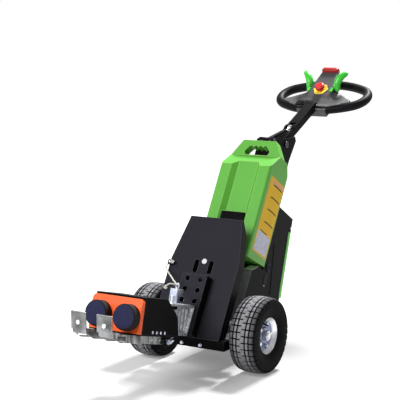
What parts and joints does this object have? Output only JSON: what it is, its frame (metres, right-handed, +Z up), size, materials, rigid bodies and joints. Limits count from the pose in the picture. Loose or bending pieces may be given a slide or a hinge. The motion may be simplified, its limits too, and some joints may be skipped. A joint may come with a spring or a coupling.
{
  "type": "electric tow tug",
  "caption": "Walk-behind electric tug with driven wheels, a rear castor, a slot-in battery, a tilting tiller with an oval handle and a front coupling with hooks and buffers",
  "frame": {"origin": "on the floor, midway between the hooks in front and the handle behind, on the middle plane", "axes": "+Z up, +Y back towards the operator and the handle, -Y forward to the coupling, +X to the right in a view from the coupling"},
  "size_m": [0.549, 1.8041, 1.057],
  "materials": {
    "tyre": "matte black rubber with a turf tread",
    "zinc": "zinc plated, slightly blue",
    "galvanised": "bright galvanised, mottled",
    "steel": "plain turned steel",
    "aluminium": "cast, bead blasted",
    "black_paint": "black powder coat",
    "orange": "orange powder coat, satin",
    "castor_rubber": "dark grey",
    "black_plastic": "fine grained black moulding",
    "green_shell": "light green moulding",
    "green_trim": "bright green",
    "grip": "soft black grip",
    "yellow": "yellow",
    "red": "red",
    "buffer": "dark navy",
    "cord": "pale braided cord"
  },
  "bodies": {
    "chassis": {"battery_latch": "black_plastic", "battery_pack": "green_shell", "buffer_left": "buffer", "buffer_right": "buffer", "castor_plate": "zinc", "chassis_frame": "black_paint", "clamp_screw_left": "zinc", "clamp_screw_right": "zinc", "cord_eye": "steel", "coupling_box": "black_paint", "coupling_front": "orange", "gear_motor_left": "aluminium", "gear_motor_right": "aluminium", "hitch_bracket": "galvanised", "hitch_pin_unit": "zinc", "mast_channel": "black_paint", "mast_panel": "black_paint", "rear_cover": "green_shell", "rear_housing": "black_plastic", "release_cord": "cord", "strut_anchor_pin": "steel", "tiller_pivot_pin": "steel", "tiller_post": "black_paint", "tool_base": "black_paint"},
    "wheel_left": {"tyre_left": "tyre", "rim_left": "zinc", "axle_shaft_left": "steel"},
    "wheel_right": {"tyre_right": "tyre", "rim_right": "zinc", "axle_shaft_right": "steel"},
    "castor_swivel": {"castor_fork": "zinc"},
    "castor_wheel": {"castor_tyre": "castor_rubber", "castor_hub": "black_plastic"},
    "tiller": {"tiller_arm": "black_paint", "handle_ring": "grip", "head_console": "black_plastic", "emergency_plate": "yellow", "emergency_button": "red", "tip_switch_band": "red", "drive_lever_left": "green_trim", "drive_lever_right": "green_trim", "thumb_rocker_left": "green_trim", "thumb_rocker_right": "green_trim", "key_switch": "black_plastic"},
    "strut_tube": {"strut_barrel": "black_plastic"},
    "strut_piston": {"strut_rod": "steel"},
    "hook_left": {"hook_arm_left": "zinc"},
    "hook_right": {"hook_arm_right": "zinc"}
  },
  "joints": [
    {"name": "wheel_left_spin", "type": "hinge", "parent": "chassis", "child": "wheel_left", "pos_m": [-0.223, -0.18805, 0.14], "axis": [1, 0, 0], "continuous": true},
    {"name": "wheel_right_spin", "type": "hinge", "parent": "chassis", "child": "wheel_right", "pos_m": [0.223, -0.18805, 0.14], "axis": [1, 0, 0], "continuous": true},
    {"name": "castor_swivel_turn", "type": "hinge", "parent": "chassis", "child": "castor_swivel", "pos_m": [0, 0.07695, 0.122], "axis": [0, 0, 1], "continuous": true},
    {"name": "castor_wheel_spin", "type": "hinge", "parent": "castor_swivel", "child": "castor_wheel", "pos_m": [0, 0.11195, 0.05], "axis": [1, 0, 0], "continuous": true},
    {"name": "tiller_tilt", "type": "hinge", "parent": "chassis", "child": "tiller", "pos_m": [0, 0.3739, 0.775], "axis": [1, 0, 0], "range_deg": [-15, 25]},
    {"name": "strut_swing", "type": "hinge", "parent": "chassis", "child": "strut_tube", "pos_m": [0, 0.26701, 0.79687], "axis": [1, 0, 0], "range_deg": [-8, 13]},
    {"name": "strut_slide", "type": "slide", "parent": "strut_tube", "child": "strut_piston", "axis": [0, 0.9858, 0.168], "range_m": [-0.0205, 0.0125]},
    {"name": "hook_left_slide", "type": "slide", "parent": "chassis", "child": "hook_left", "axis": [0, -0.9703, 0.2419], "range_m": [-0.024, 0.048]},
    {"name": "hook_right_slide", "type": "slide", "parent": "chassis", "child": "hook_right", "axis": [0, -0.9703, 0.2419], "range_m": [-0.024, 0.048]}
  ],
  "couplings": [
    {"joint": "strut_swing", "follows": "tiller_tilt", "ratio": 0.51},
    {"joint": "strut_slide", "follows": "tiller_tilt", "m_per_rad": -0.045}
  ]
}
